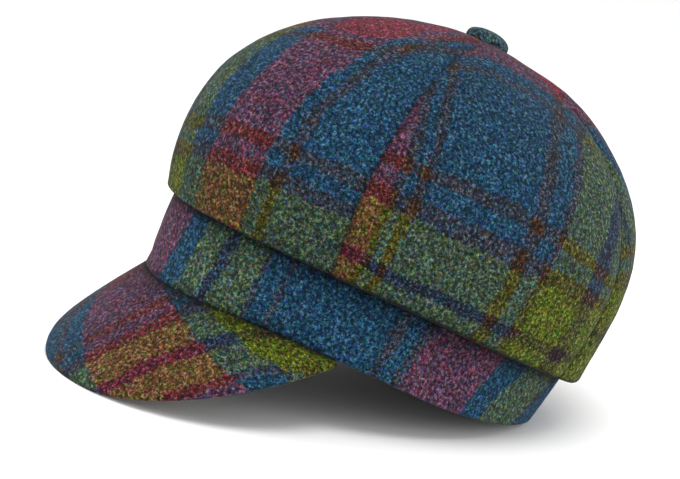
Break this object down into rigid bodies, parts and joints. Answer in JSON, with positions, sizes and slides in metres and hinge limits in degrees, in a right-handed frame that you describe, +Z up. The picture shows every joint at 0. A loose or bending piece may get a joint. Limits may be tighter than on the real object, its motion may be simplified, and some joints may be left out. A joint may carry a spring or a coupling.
{
  "type": "baker boy cap",
  "caption": "Round full crown of wide panels gathered under a covered button, on an upright band with a short curved peak, in soft checked wool.",
  "frame": {"origin": "middle of the cap's plan, on the table that it rests on", "axes": "+Z up, -Y towards the peak, +X towards the wearer's left; the cap leans back, resting on the tip of its peak and the back of its band"},
  "size_m": [0.2032, 0.2814, 0.1829],
  "materials": {
    "crown_wool": "soft checked wool tweed, dull and slightly hairy",
    "band_wool": "soft checked wool tweed, dull and slightly hairy",
    "peak_wool": "checked wool tweed over a stiff core, dull",
    "button_wool": "dark teal wool tweed, dull"
  },
  "bodies": {
    "root": {"crown_panel_front": "crown_wool", "crown_panel_left": "crown_wool", "crown_panel_back": "crown_wool", "crown_panel_right": "crown_wool", "band": "band_wool", "peak": "peak_wool", "button": "button_wool"}
  },
  "joints": []
}
